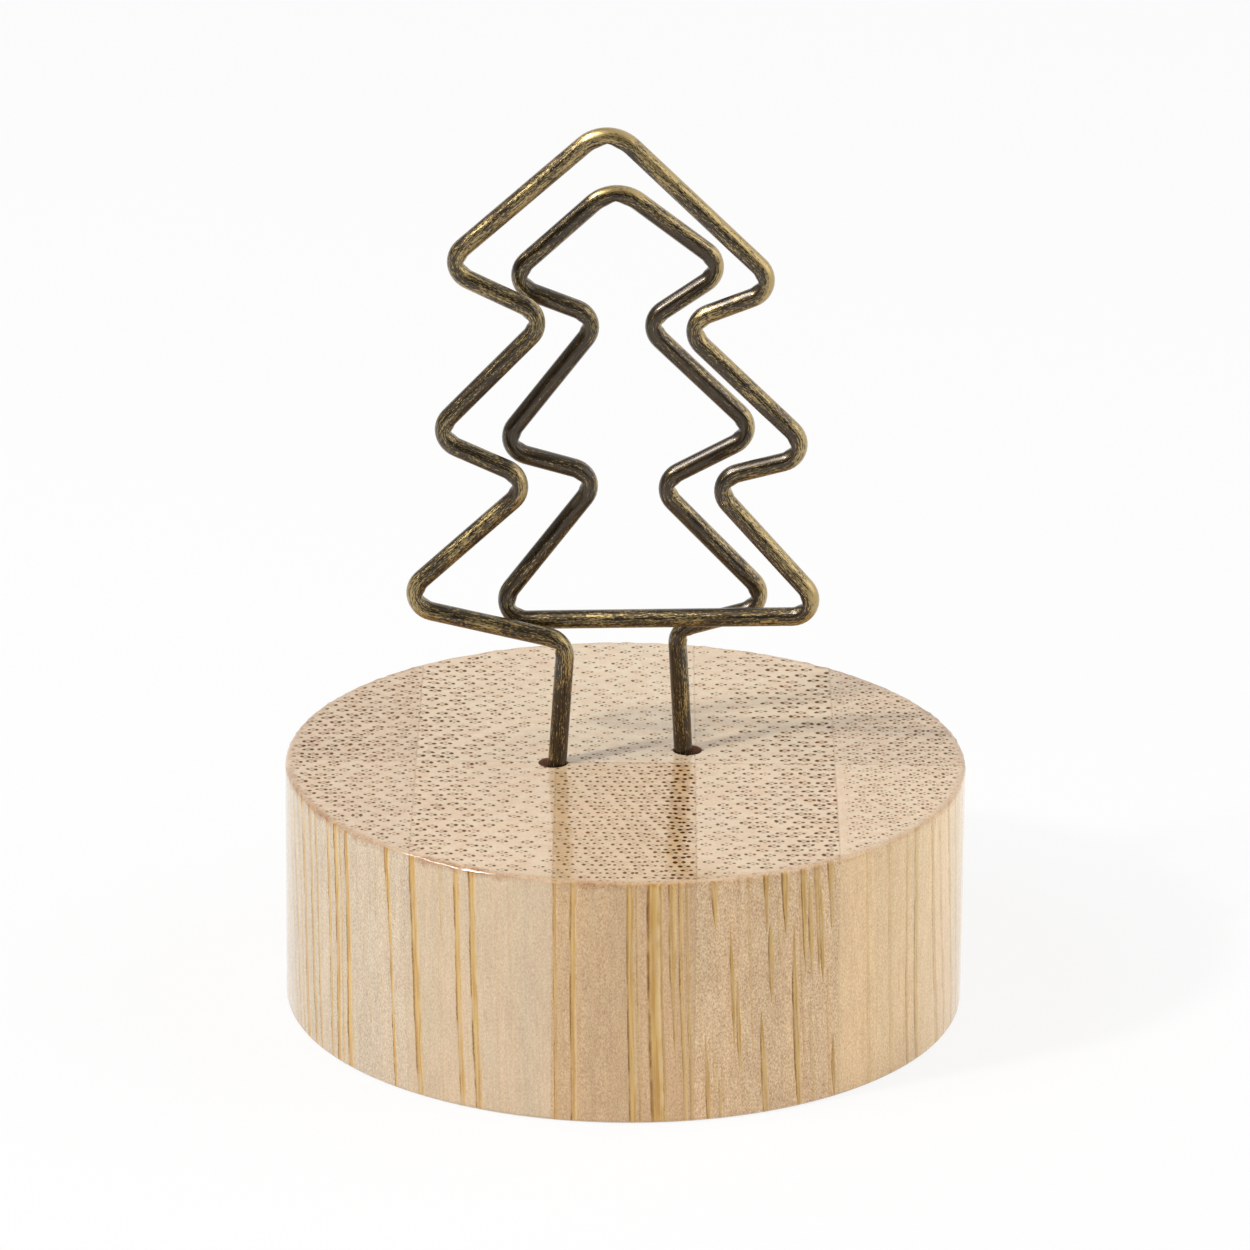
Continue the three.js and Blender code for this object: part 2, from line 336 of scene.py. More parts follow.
def nearest_bundle(tree, mm, y, t, width, strip):
    """How far the nearest bundle lies across and back, and random numbers of its own.

    Bundles stand in staggered, wavy rows, closer together towards one side of the strip. T runs from 0
    at the strip's left side to 1 at its right.
    """
    wave = noise(tree, mm, WAVE, detail=1)
    wavy = maths(tree, "MULTIPLY_ADD", wave, strip["wave"], y)
    at_left, at_right = (1 / pitch for pitch in strip["pitch"])
    more = at_right - at_left
    crowding = maths(tree, "MULTIPLY_ADD", t, more, at_left)
    mean_crowding = maths(tree, "MULTIPLY_ADD", t, more / 2 * width, at_left * width)
    column = maths(tree, "MULTIPLY", t, mean_crowding)
    row = maths(tree, "MULTIPLY", wavy, 1 / strip["rows"])
    staggered = maths(tree, "MULTIPLY_ADD", row, strip["stagger"], column)
    grid = add_node(tree, "CombineXYZ", [staggered, row])
    bundle = add_node(
        tree,
        "TexVoronoi",
        {"Vector": grid, "Scale": 1, "Randomness": strip["scatter"]},
        voronoi_dimensions="2D",
    )
    offset = add_node(tree, "VectorMath", [grid, bundle.outputs["Position"]], operation="SUBTRACT")
    offset = add_node(tree, "SeparateXYZ", [offset])
    across = maths(tree, "MULTIPLY_ADD", offset.outputs["Y"], -strip["stagger"], offset.outputs["X"])
    across = maths(tree, "DIVIDE", across, crowding)
    back = maths(tree, "MULTIPLY", offset.outputs["Y"], strip["rows"])
    return across, back, add_node(tree, "SeparateColor", [bundle.outputs["Color"]])


def bundle_caps(tree, across, back, chance, t, is_dense, strip):
    """How strongly a bundle's caps of fibre show here, and the share of the way through a cap.

    A bundle is two dark lens-shaped caps left and right, and two faint ones front and back. The cap that
    faced the culm's hollow, on the side where bundles are sparse, is the larger one.
    """
    at_left, at_right = strip["dots"]
    radius = maths(tree, "MULTIPLY_ADD", t, at_right - at_left, at_left)
    luck = maths(tree, "MULTIPLY_ADD", chance.outputs["Red"], 0.2, 0.9)
    radius = maths(tree, "MULTIPLY", radius, luck)
    swelling = maths(tree, "MULTIPLY_ADD", is_dense, 0.2, 1)
    radius = maths(tree, "MULTIPLY", radius, swelling)
    which = maths(tree, "SIGN", across)
    hollow_side = math.copysign(LARGER_CAP, strip["pitch"][1] - strip["pitch"][0])
    larger = maths(tree, "MULTIPLY_ADD", which, hollow_side, 1)
    cap_radius = maths(tree, "MULTIPLY", radius, larger)

    aside = maths(tree, "ABSOLUTE", across)
    aside = maths(tree, "SUBTRACT", aside, CAP_SPREAD)
    cap_width = maths(tree, "MULTIPLY", cap_radius, CAP_SLIMNESS)
    cap_aside = maths(tree, "DIVIDE", aside, cap_width)
    cap_back = maths(tree, "DIVIDE", back, cap_radius)
    dark = maths(tree, "ABSOLUTE", cap_back)
    dark = maths(tree, "MULTIPLY_ADD", cap_aside, cap_aside, dark)
    dark = remap(tree, dark, (1.35, 0.75), soft=True)
    depth_of_tone = remap(tree, cap_radius, (0.08, 0.16), (0.75, 1))
    dark = maths(tree, "MULTIPLY", dark, depth_of_tone)

    beyond = maths(tree, "ABSOLUTE", back)
    beyond = maths(tree, "SUBTRACT", beyond, FAINT_SPREAD)
    faint = add_node(tree, "CombineXYZ", [across, beyond])
    faint = add_node(tree, "VectorMath", [faint], operation="LENGTH")
    faint = maths(tree, "DIVIDE", faint.outputs["Value"], radius)
    faint = remap(tree, faint, (1.25, 0.4), (0, strip["petals"]), soft=True)

    cap_bulge = maths(tree, "MULTIPLY", cap_back, cap_back)
    half_cap = maths(tree, "SUBTRACT", 1, cap_bulge)
    half_cap = maths(tree, "MAXIMUM", half_cap, THINNEST)
    cap_share = maths(tree, "MULTIPLY", cap_aside, which)
    cap_share = maths(tree, "DIVIDE", cap_share, half_cap)
    cap_share = maths(tree, "MULTIPLY_ADD", cap_share, 0.5, 0.5)
    return maths(tree, "MAXIMUM", dark, faint), cap_share


def end_grain(tree, dot, is_dense, flush, speckle, ground, top):
    """The top: flushed and speckled ground tissue with the dark dots of the bundles."""
    shade = maths(tree, "MULTIPLY_ADD", speckle, 0.34, ground)
    shade = maths(tree, "SUBTRACT", shade, 0.1)
    flushed = remap(tree, flush, (0.35, 0.65), (0.2, 0.8))
    tissue = mix(tree, flushed, top, BLUSH, "MULTIPLY")
    tissue = mix(tree, 1, tissue, shade, "MULTIPLY")
    dot_tone = mix(tree, is_dense, DOT_BROWN, DENSE_BROWN)
    return mix(tree, dot, tissue, dot_tone)


def side_tissue(tree, fine, band, rough, ground, t, strip):
    """The turned side between its streaks: fine fibres in soft bands, with the grit of sanding."""
    shade = maths(tree, "MULTIPLY_ADD", fine, 0.2, ground)
    shade = maths(tree, "MULTIPLY_ADD", band, 0.36, shade)
    shade = maths(tree, "SUBTRACT", shade, 0.18)
    warmth = Vector((0.8, 1.2, 1.3)) * strip["grit"]
    shade = add_node(tree, "VectorMath", [rough, warmth, shade], operation="MULTIPLY_ADD")
    # Painted light: the side grows paler over its right half, as light from the right falls on it
    painted_light_to_right = remap(tree, t, (0.5, 1))
    tissue = mix(tree, painted_light_to_right, strip["side"], strip.get("side_right_painted_light", strip["side"]))
    tissue = mix(tree, band, tissue, BLUSH, "MULTIPLY")
    return mix(tree, 1, tissue, shade, "MULTIPLY")


def cut_fibre(tree, share, strength):
    """Where one cut bundle shows: red all over it, green its dark edge and blue its pale one.

    The share runs from 0 at the bundle's left edge to 1 at its right.
    """
    ramp = add_node(tree, "ValToRGB", [share])
    stops = ramp.color_ramp.elements
    stops[0].color = (0, 0, 0, 1)
    stops[1].color = (0, 0, 0, 1)
    for place, shows in (
        (0.12, (1, 1, 0, 1)),
        (0.32, (1, 0, 0, 1)),
        (0.65, (1, 0, 0, 1)),
        (0.85, (1, 0, 1, 1)),
    ):
        stops.new(place).color = shows
    return add_node(tree, "VectorMath", {"Vector": ramp, "Scale": strength}, operation="SCALE")


def cut_fibres(tree, cap_share, chance, x, depth, grit, worn, strip):
    """Where bundles show down the side: cut slantwise, or laid open with ragged edges."""
    clearest = strip["streaks"]
    is_clear = remap(tree, chance.outputs["Green"], (0.15, 0.35), (0.3 * clearest, clearest))
    shows = cut_fibre(tree, cap_share, is_clear)
    ragged = maths(tree, "MULTIPLY_ADD", grit, 0.1, x)
    ragged = maths(tree, "MULTIPLY_ADD", worn, 0.16, ragged)
    ragged = maths(tree, "SUBTRACT", ragged, 0.13)
    for middle, breadth, strength, upper, lower in strip["laid_open"]:
        along = remap(tree, depth, (upper, lower), (-1, 1))
        bulge = maths(tree, "MULTIPLY", along, along)
        breadth_here = maths(tree, "MULTIPLY_ADD", bulge, -breadth, breadth + THINNEST)
        share = maths(tree, "SUBTRACT", ragged, middle)
        share = maths(tree, "DIVIDE", share, breadth_here)
        share = maths(tree, "ADD", share, 0.5)
        laid_open = cut_fibre(tree, share, strength)
        shows = add_node(tree, "VectorMath", [shows, laid_open], operation="MAXIMUM")
    return shows


def streaked(tree, tissue, shows, fine, worn):
    """Lays cut bundles over the side. Their gold changes by the thread, and wear breaks their edges."""
    kept = remap(tree, worn, (0.3, 0.5), (0.5, 1))
    shows = add_node(tree, "VectorMath", {"Vector": shows, "Scale": kept}, operation="SCALE")
    shows = add_node(tree, "SeparateXYZ", [shows])
    thread = remap(tree, fine, (0.38, 0.62))
    gold = mix(tree, thread, STREAK_GOLD, STREAK_STRAW)
    grain = mix(tree, shows.outputs["X"], tissue, gold)
    dark_kept = remap(tree, worn, (0.4, 0.58), (0.3, 1))
    pale_kept = remap(tree, worn, (0.6, 0.4), (0, 0.7))
    for edge, still, tone in (("Y", dark_kept, STREAK_EDGE), ("Z", pale_kept, STREAK_PALE)):
        cover = maths(tree, "MULTIPLY", shows.outputs[edge], still)
        grain = mix(tree, cover, grain, tone)
    return grain


def glued(tree, grain, straight, upright, left, width, layer_joint):
    """Lays glue lines a tenth of a millimetre wide where strips meet, clearest on top."""
    from_middle = maths(tree, "SUBTRACT", straight.outputs["X"], left + width / 2)
    from_middle = maths(tree, "ABSOLUTE", from_middle)
    to_side = maths(tree, "SUBTRACT", width / 2, from_middle)
    to_layer = maths(tree, "SUBTRACT", straight.outputs["Y"], layer_joint)
    to_layer = maths(tree, "ABSOLUTE", to_layer)
    to_joint = maths(tree, "MINIMUM", to_side, to_layer)
    glue = remap(tree, to_joint, (0.08, 0.03), (0, 0.25))
    seen = remap(tree, upright, (0, 1), (0.2, 1))
    glue = maths(tree, "MULTIPLY", glue, seen)
    return mix(tree, glue, grain, GLUE_BROWN)


def rubbed_rim(tree, grain, straight, inset, cloud, flush, speckle, strength):
    """Darkens the upper rim in ragged patches, as sanding has left it."""
    below = maths(tree, "SUBTRACT", base_height / MM, straight.outputs["Z"])
    from_edge = maths(tree, "ADD", inset, below)
    ragged = maths(tree, "MULTIPLY_ADD", flush, 0.8, from_edge)
    ragged = maths(tree, "MULTIPLY_ADD", speckle, 0.6, ragged)
    rim = remap(tree, ragged, (0.7, 1.3), (1, 0), soft=True)
    patches = remap(tree, cloud, (0.4, 0.6), (0.2 * strength, strength))
    rim = maths(tree, "MULTIPLY", rim, patches)
    return mix(tree, rim, grain, RIM_TINT, "MULTIPLY")


def lacquered_bamboo(name, left, width, layer_joint, strip):
    """Bamboo under satin lacquer. Left, width and the joint between the layers are in millimetres.

    The fibre bundles are one solid pattern through the block, so the dots on top run on as streaks
    where the turned side cuts them. The lacquer reflects the room over all of it.
    """
    material, tree = new_material(name)
    place = add_node(tree, "TexCoord")
    metres = place.outputs["Object"]
    mm = add_node(tree, "VectorMath", {"Vector": metres, "Scale": 1 / MM}, operation="SCALE")
    straight = add_node(tree, "SeparateXYZ", [mm])
    flat = add_node(tree, "VectorMath", [mm, (1, 1, 0)], operation="MULTIPLY")
    from_axis = add_node(tree, "VectorMath", [flat], operation="LENGTH").outputs["Value"]
    inset = maths(tree, "SUBTRACT", base_radius / MM, from_axis)
    x, y, depth, followed = follow_fibres(tree, mm, strip["lean"])
    t = maths(tree, "MULTIPLY_ADD", x, 1 / width, -left / width)

    # Ground tissue, clouded over a few millimetres, flushed, and speckled by its cells
    cloud = noise(tree, mm, CLOUD, detail=2)
    flush = noise(tree, mm, FLUSH, detail=1)
    speckle = noise(tree, mm, CELLS, detail=2)
    ground = maths(tree, "MULTIPLY_ADD", cloud, 0.14, 0.83)

    # On top: bundles, which sanding has smeared within half a millimetre of the rim
    is_dense = 0
    if "dense" in strip:
        start, end = strip["dense"]
        is_begun = remap(tree, t, (start, start + DENSE_BORDER))
        is_lasting = remap(tree, t, (end + DENSE_BORDER, end))
        is_dense = maths(tree, "MULTIPLY", is_begun, is_lasting)
    across, back, chance = nearest_bundle(tree, mm, y, t, width, strip)
    dot, cap_share = bundle_caps(tree, across, back, chance, t, is_dense, strip)
    if "bare" in strip:
        is_grown = maths(tree, "GREATER_THAN", t, strip["bare"] / width)
        dot = maths(tree, "MULTIPLY", dot, is_grown)
    unsmeared = remap(tree, inset, (0.2, 0.7), (0.15, 1))
    dot = maths(tree, "MULTIPLY", dot, unsmeared)
    ends = end_grain(tree, dot, is_dense, flush, speckle, ground, strip["top"])

    # Down the side: fibres in bands, rough from sanding, and the bundles that the side cuts
    fine = noise(tree, followed, FIBRE, detail=2)
    band = noise(tree, followed, BAND, detail=3)
    grit = noise(tree, mm, GRIT, detail=1)
    worn = noise(tree, followed, WORN, detail=3)
    rough = maths(tree, "MULTIPLY_ADD", worn, 0.35, grit)
    rough = maths(tree, "MULTIPLY_ADD", speckle, 0.25, rough)
    rough = maths(tree, "SUBTRACT", rough, 0.8)
    tissue = side_tissue(tree, fine, band, rough, ground, t, strip)
    shows = cut_fibres(tree, cap_share, chance, x, depth, grit, worn, strip)
    sides = streaked(tree, tissue, shows, fine, worn)

    # Ends or sides, by which way the surface faces, with a torn border and a burnt wall in the sockets
    facing = add_node(tree, "SeparateXYZ", [place.outputs["Normal"]])
    upright = maths(tree, "ABSOLUTE", facing.outputs["Z"])
    torn = maths(tree, "MULTIPLY_ADD", speckle, 0.6, upright)
    is_end = remap(tree, torn, (0.85, 1.1), soft=True)
    is_drilled = maths(tree, "LESS_THAN", from_axis, base_radius / MM - DRILLED_INSET)
    walls = mix(tree, is_drilled, sides, DRILLED_BROWN)
    colour = mix(tree, is_end, walls, ends)
    colour = glued(tree, colour, straight, upright, left, width, layer_joint)
    colour = rubbed_rim(tree, colour, straight, inset, cloud, flush, speckle, strip["rim"])

    # The cut ends of the fibres lie a little deeper, drink the lacquer and stay matt
    relief = maths(tree, "MULTIPLY_ADD", dot, -0.6, fine)
    relief = maths(tree, "MULTIPLY_ADD", speckle, 0.5, relief)
    bump = add_node(tree, "Bump", {"Height": relief, "Strength": 0.4, "Distance": RELIEF})
    roughness = maths(tree, "MULTIPLY_ADD", speckle, 0.2, 0.4)
    matt_end = maths(tree, "MULTIPLY", dot, is_end)
    lacquer = remap(tree, matt_end, (0, 1), (0.95, 0.1))
    surface = add_node(
        tree,
        "BsdfPrincipled",
        {
            "Base Color": colour,
            "Roughness": roughness,
            "Normal": bump,
            "Specular IOR Level": 0,
            "Coat Weight": lacquer,
            "Coat Roughness": 0.1,
            "Coat IOR": LACQUER_IOR,
        },
    )
    add_node(tree, "OutputMaterial", {"Surface": surface})
    return material


for node, strip in STRIPS.items():
    low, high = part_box(node)
    bpy.ops.object.select_all(action="DESELECT")
    blank.select_set(True)
    bpy.context.view_layer.objects.active = blank
    bpy.ops.object.duplicate()
    piece = bpy.context.object
    piece.name = piece.data.name = node.replace("base_strip", "bamboo_strip")
    for axis in (0, 1):
        for corner, way in ((low, 1), (high, -1)):
            if abs(corner[axis]) < base_radius - RIM_EASE:
                normal = [0, 0, 0]
                normal[axis] = way
                bpy.ops.object.mode_set(mode="EDIT")
                bpy.ops.mesh.select_all(action="SELECT")
                bpy.ops.mesh.bisect(
                    plane_co=corner,
                    plane_no=normal,
                    use_fill=True,
                    clear_inner=True,
                    threshold=CUT_PRECISION,
                )
                bpy.ops.object.mode_set(mode="OBJECT")
    bpy.ops.object.shade_smooth_by_angle(angle=SMOOTH_ANGLE)
    bpy.ops.object.modifier_add(type="WEIGHTED_NORMAL")
    piece.modifiers[-1].keep_sharp = True
    bpy.ops.object.modifier_apply(modifier=piece.modifiers[-1].name)
    layer_joint = high.y if "front" in node else low.y
    piece.data.materials.clear()
    piece.data.materials.append(
        lacquered_bamboo(
            "lacquered " + piece.name,
            low.x / MM,
            (high.x - low.x) / MM,
            layer_joint / MM,
            USUAL | strip,
        )
    )
    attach(piece, "base")
    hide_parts(node)
bpy.data.objects.remove(blank)

# Wire clip: one length of 1.1 mm wire, antique brass plated and bent cold round pins. It is modelled as
# two pieces that meet half way along the bar between the two trees.
WIRE_DIAMETER = 1.1 * MM
WIRE_SIDES = 24
TIP_CHAMFER = 0.15 * MM
BEND_PIN_RADIUS = 0.6 * MM
APEX_PIN_RADIUS = 1.5 * MM
BEND_STEPS = 12
CREASE_DEPTH = 0.18 * MM  # nick that the bending tool left half way round the inside of a bend
CREASE_STEPS = 2.5  # of the bend's steps, how many it reaches each way
RUN_STEP = 0.8 * MM  # between rings along a straight run
LEG_INSERT = 8.4 * MM
LEG_HEIGHT = 7.6 * MM
LEG_LEAN = 0.25 * MM  # how far off its socket's centre a leg is, inwards at the mouth, outwards at the tip
FRONT_TURN = math.radians(-6)  # the front tree's right side comes forward
REAR_TURN = math.radians(1)

# Bends of the two trees, in millimetres across from the clip's centre and up from the base's top
FRONT_TREE = [
    (-13.3, 9.5),
    (-5.1, 17.4),
    (-11.2, 19.9),
    (-4.3, 27.4),
    (-10.6, 30.2),
    (-1.0, 39.1),
    (9.0, 29.8),
    (3.2, 27.3),
    (11.2, 19.8),
    (4.9, 17.9),
    (12.2, 9.9),
]
REAR_TREE = [
    (-8.0, 8.1),
    (-1.2, 17.1),
    (-7.3, 18.8),
    (-1.3, 26.7),
    (-7.0, 28.9),
    (-0.6, 34.8),
    (6.0, 29.8),
    (1.1, 26.4),
    (7.9, 19.8),
    (1.9, 16.6),
    (9.0, 9.2),
]
APEX = 5  # place of the treetop in both lists

wire_radius = WIRE_DIAMETER / 2
clip_foot = CLIP_PLACE + Vector((0, 0, base_height))


def tree_corners(bends, side, turn):
    """A tree's bends in space, each with its pin's radius. The tree is turned about its own leg."""
    corners = []
    for place, (across, up) in enumerate(bends):
        from_leg = across * MM - side * SOCKET_SPACING / 2
        depth = side * SOCKET_STAGGER / 2 + math.tan(turn) * from_leg
        pin = APEX_PIN_RADIUS if place == APEX else BEND_PIN_RADIUS
        corners.append((clip_foot + Vector((across * MM, depth, up * MM)), pin + wire_radius))
    return corners


def leg_corners(side):
    """A leg's top and tip. It leans from the socket's inner edge at the mouth to its outer wall."""
    corners = []
    for up in (LEG_HEIGHT, -LEG_INSERT):
        splay = -LEG_LEAN - 2 * LEG_LEAN * up / LEG_INSERT
        across = side * (SOCKET_SPACING / 2 + splay)
        end = clip_foot + Vector((across, side * SOCKET_STAGGER / 2, up))
        corners.append((end, BEND_PIN_RADIUS + wire_radius))
    return corners


def bent_wire(name, corners, start_turn):
    """Feeds a ring of the wire from the first corner on, straight and then round a pin at each corner.

    Gives the piece, and for each of its rings the place, heading, length so far, way to the pin and
    depth of the tool's nick.
    """
    heading = (corners[1][0] - corners[0][0]).normalized()
    here = corners[0][0].copy()
    bpy.ops.object.select_all(action="DESELECT")
    bpy.ops.mesh.primitive_circle_add(
        vertices=WIRE_SIDES, radius=wire_radius, location=here, rotation=start_turn.to_euler()
    )
    wire = bpy.context.object
    wire.name = wire.data.name = name
    bpy.ops.object.transform_apply(location=True, rotation=True)
    rings = [(here.copy(), heading.copy(), 0.0, Vector(), 0.0)]
    bpy.ops.object.mode_set(mode="EDIT")
    length = 0.0
    for i in range(1, len(corners)):
        corner, radius = corners[i]
        is_tip = i == len(corners) - 1
        onward = heading if is_tip else (corners[i + 1][0] - corner).normalized()
        turn = heading.angle(onward) if not is_tip else 0.0
        run = (corner - here).length - (TIP_CHAMFER if is_tip else radius * math.tan(turn / 2))
        steps = max(1, round(run / RUN_STEP))
        for _ in range(steps):
            bpy.ops.mesh.extrude_region_move(TRANSFORM_OT_translate={"value": heading * run / steps})
            here += heading * run / steps
            length += run / steps
            rings.append((here.copy(), heading.copy(), length, Vector(), 0.0))
        if is_tip:
            bpy.ops.mesh.extrude_region_move(TRANSFORM_OT_translate={"value": heading * TIP_CHAMFER})
            here += heading * TIP_CHAMFER
            shrink = 1 - TIP_CHAMFER / wire_radius
            bpy.ops.transform.resize(value=(shrink,) * 3, center_override=here)
            rings.append((here.copy(), heading.copy(), length + TIP_CHAMFER, Vector(), 0.0))
            break
        axis = heading.cross(onward).normalized()
        inward = axis.cross(heading)
        pin = here + inward * radius
        bpy.ops.mesh.spin(steps=BEND_STEPS, angle=-turn, center=pin, axis=axis)
        for step in range(1, BEND_STEPS + 1):
            part = Matrix.Rotation(turn * step / BEND_STEPS, 3, axis)
            spoke = part @ inward
            nick = CREASE_DEPTH * max(0.0, 1 - abs(step - BEND_STEPS / 2) / CREASE_STEPS)
            along = length + radius * turn * step / BEND_STEPS
            rings.append((pin - spoke * radius, part @ heading, along, spoke, nick))
        length += radius * turn
        here = rings[-1][0].copy()
        heading = onward
    bpy.ops.mesh.edge_face_add()
    bpy.ops.object.mode_set(mode="OBJECT")
    pick(wire, "vertices", lambda vertex: vertex.index < WIRE_SIDES)
    bpy.ops.mesh.edge_face_add()
    bpy.ops.mesh.select_all(action="SELECT")
    bpy.ops.mesh.normals_make_consistent(inside=False)
    bpy.ops.object.mode_set(mode="OBJECT")
    bpy.ops.object.shade_smooth_by_angle(angle=SMOOTH_ANGLE)
    return wire, rings


front_corners = tree_corners(FRONT_TREE, -1, FRONT_TURN)
rear_corners = tree_corners(REAR_TREE, 1, REAR_TURN)
bar_front = front_corners[-1][0]
bar_rear = rear_corners[0][0]
bar_middle = (bar_front + bar_rear) / 2
bar_turn = (bar_front - bar_rear).to_track_quat("Z", "Y")
half_bar = (bar_front - bar_rear).length / 2
front_route = [(bar_middle, 0)] + front_corners[::-1] + leg_corners(-1)
rear_route = [(bar_middle, 0)] + rear_corners + leg_corners(1)

PATINA_DARK = "#251a0b"
PATINA_LIGHT = "#4a391b"
BARE_BRASS = "#b39b66"
WIRE_STREAK = (0.07, 0.9)  # size in millimetres, round the wire and along it
WIRE_FLECK = (0.045, 0.22)
WIRE_PATCH = (0.6, 3.0)
FRONT_WEAR = 0.17  # the front tree is handled more than the rear one
REAR_WEAR = -0.02
FRONT_WEAR_RISE = 0.12  # more of it towards the bar and the top
REAR_WEAR_RISE = 0.2
LEAST_RUBBED = 12 * MM  # height above the bar at which a tree is rubbed least
OUTWARD_WEAR = 0.1  # more on the side that faces out of the tree
RIGHT_PAINTED_LIGHT = 0.22  # painted light: the side that faces right is made barer and lighter
BEND_WEAR = 0.2  # and round the outside of a bend
PLAIN_SHARE = 0.2  # share of the outward wear and right-side painted light that the legs and bar's middle have
LEG_FADE = 8 * MM  # below the bar, over which a tree's own wear gives way to the legs'
RISE_FADE = 10 * MM  # below the bar, over which the wear round the bar ends


def antique_brass(name):
    """Brass plating darkened with a brown-black patina, rubbed back to brass where it stands proud.

    The drawn wire gives it fine streaks along its length, and clear lacquer gives sharp highlights.
    """
    material, tree = new_material(name)
    place = add_node(tree, "Attribute", attribute_name="wire_place")
    rubbed = add_node(tree, "Attribute", attribute_name="rubbed")
    textures = []
    for (wide, long), detail in ((WIRE_STREAK, 2), (WIRE_FLECK, 2), (WIRE_PATCH, 1)):
        size = (wide * MM / wire_radius, long)
        textures.append(noise(tree, place.outputs["Vector"], size, detail))
    streak, fleck, patch = textures
    # The rubbed amount holds painted light too: sides that face right come out barer and lighter
    wear_and_painted_light = maths(tree, "MULTIPLY_ADD", streak, 0.9, rubbed.outputs["Fac"])
    wear_and_painted_light = maths(tree, "MULTIPLY_ADD", fleck, 1.3, wear_and_painted_light)
    wear_and_painted_light = maths(tree, "MULTIPLY_ADD", patch, 0.6, wear_and_painted_light)
    bare = remap(tree, wear_and_painted_light, (1.62, 1.88), soft=True)
    thickness = remap(tree, streak, (0.35, 0.65))
    patina = mix(tree, thickness, PATINA_DARK, PATINA_LIGHT)
    tone = mix(tree, bare, patina, BARE_BRASS)
    metal = remap(tree, bare, (0, 1), (0.75, 1))
    roughness = remap(tree, fleck, (0, 1), (0.3, 0.5))
    relief = maths(tree, "MULTIPLY_ADD", fleck, 0.4, streak)
    bump = add_node(tree, "Bump", {"Height": relief, "Strength": 0.15, "Distance": RELIEF})
    surface = add_node(
        tree,
        "BsdfPrincipled",
        {
            "Base Color": tone,
            "Metallic": metal,
            "Roughness": roughness,
            "Normal": bump,
            "Coat Weight": 0.8,
            "Coat Roughness": 0.22,
        },
    )
    add_node(tree, "OutputMaterial", {"Surface": surface})
    return material


brass = antique_brass("antique brass plating")
bar_wear = (FRONT_WEAR + REAR_WEAR) / 2
for name, route, way, own_wear, rise, body, nodes in (
    (
        "wire_front_tree",
        front_route,
        1,
        FRONT_WEAR,
        FRONT_WEAR_RISE,
        "front_loop",
        ("left_leg", "front_tree"),
    ),
    (
        "wire_rear_tree",
        rear_route,
        -1,
        REAR_WEAR,
        REAR_WEAR_RISE,
        "rear_loop",
        ("right_leg", "rear_tree"),
    ),
):
    wire, rings = bent_wire(name, route, bar_turn)
    wire.data.attributes.new("wire_place", "FLOAT_VECTOR", "POINT")
    wire.data.attributes.new("rubbed", "FLOAT", "POINT")
    wire_place = wire.data.attributes["wire_place"].data
    rubbed = wire.data.attributes["rubbed"].data
    for vertex in wire.data.vertices:
        ring, side = divmod(vertex.index, WIRE_SIDES)
        centre, heading, length, to_pin, nick = rings[ring]
        # Where the point lies on the wire: round it in radii, and along it in millimetres from the bar
        angle = 2 * math.pi * side / WIRE_SIDES
        wire_place[vertex.index].vector = (math.cos(angle), math.sin(angle), way * length / MM)
        # How bare it is rubbed, by where it stands and which way it faces, with painted light on the right
        proud = (vertex.co - centre).normalized()
        outward = Vector((heading.z, 0, -heading.x)) * way
        to_outside = -proud.dot(to_pin)
        above_bar = centre.z - bar_middle.z
        on_tree = min(1.0, length / half_bar) * max(0.0, min(1.0, 1 + above_bar / LEG_FADE))
        # Painted light: points that face right are made barer, for the light from the right
        outward_wear_and_painted_light = OUTWARD_WEAR * proud.dot(outward) + RIGHT_PAINTED_LIGHT * proud.x
        risen = min(abs(above_bar / LEAST_RUBBED - 1), 1 + above_bar / RISE_FADE)
        wear_and_painted_light = bar_wear + (own_wear - bar_wear) * on_tree
        wear_and_painted_light += outward_wear_and_painted_light * (PLAIN_SHARE + (1 - PLAIN_SHARE) * on_tree)
        wear_and_painted_light += BEND_WEAR * max(0.0, to_outside)
        wear_and_painted_light += rise * max(0.0, risen)
        rubbed[vertex.index].value = wear_and_painted_light
        vertex.co -= to_pin * nick * max(0.0, -to_outside) ** 2
    wire.data.materials.append(brass)
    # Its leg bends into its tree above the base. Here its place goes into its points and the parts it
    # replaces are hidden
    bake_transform(wire)
    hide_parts(*nodes)

# Studio: a white sweep lit softly from the left front, with a large white wall on the right and a
# darker room behind the camera. The camera stands where the picture of the holder was taken from.
FLOOR_SIZE = 4.0
FLOOR_GAP = 0.01 * MM  # so that the underside and the floor don't lie in one plane
SWEEP_WHITE = "#f4f4f2"
SWEEP_GLOW = 0.85  # share of plain white in the sweep where it is seen, so that its shadow is faint
ROOM_LIGHT = 0.4  # strength of the room on matt surfaces, where plain white is 1
bpy.ops.object.select_all(action="DESELECT")
bpy.ops.mesh.primitive_plane_add(size=FLOOR_SIZE, location=(0, 0, -FLOOR_GAP))
floor = bpy.context.object
floor.name = "floor"
paper, tree = new_material("white paper sweep")
light_path = add_node(tree, "LightPath")
seen = maths(tree, "MAXIMUM", light_path.outputs["Is Camera Ray"], light_path.outputs["Is Glossy Ray"])
seen = maths(tree, "MAXIMUM", seen, light_path.outputs["Is Transmission Ray"])
glow = maths(tree, "MULTIPLY", seen, SWEEP_GLOW)
matt = add_node(tree, "BsdfDiffuse", {"Color": linear(SWEEP_WHITE)})
white = add_node(tree, "Emission", {"Color": (1, 1, 1, 1), "Strength": 1})
both = add_node(tree, "MixShader", [glow, matt, white])
add_node(tree, "OutputMaterial", {"Surface": both})
floor.data.materials.append(paper)

